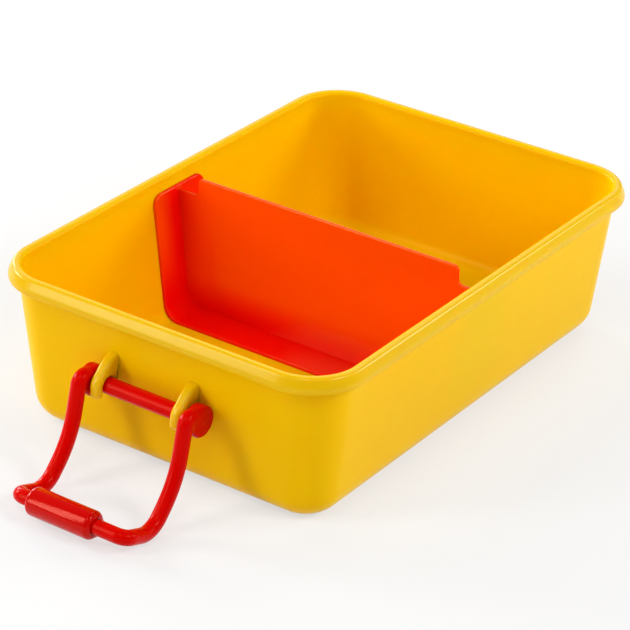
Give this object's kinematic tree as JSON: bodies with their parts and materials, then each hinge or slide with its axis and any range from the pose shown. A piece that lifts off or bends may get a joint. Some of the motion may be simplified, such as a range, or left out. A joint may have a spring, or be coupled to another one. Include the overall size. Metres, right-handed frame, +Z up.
{
  "type": "divided tub with bail handle",
  "caption": "Open moulded tub with leaning walls and a round rim, a lift-out cross divider, and a bail handle hooked on at one short end.",
  "frame": {"origin": "on the plane the tub stands on, under the middle of the rim's plan", "axes": "+Z up out of the open top, -Y towards the short end that carries the handle, +X to the right seen from the handle end facing the tub"},
  "size_m": [0.207, 0.3603, 0.0862],
  "materials": {
    "yellow_plastic": "glossy moulded polypropylene, yellow",
    "red_plastic": "glossy moulded polypropylene, red"
  },
  "bodies": {
    "tub": {"tub": "yellow_plastic"},
    "divider": {"divider": "red_plastic"},
    "bail": {"bail": "red_plastic"},
    "grip": {"grip_sleeve": "red_plastic"}
  },
  "joints": [
    {"name": "bail_swing", "type": "hinge", "parent": "tub", "child": "bail", "pos_m": [-0.0014, -0.14808, 0.0466], "axis": [-1, 0, 0], "range_deg": [0, 80]},
    {"name": "grip_spin", "type": "hinge", "parent": "bail", "child": "grip", "pos_m": [-0.0014, -0.20518, 0.0092], "axis": [1, 0, 0], "continuous": true},
    {"name": "divider_lift", "type": "slide", "parent": "tub", "child": "divider", "axis": [0, 0, 1], "range_m": [0, 0.085]}
  ]
}
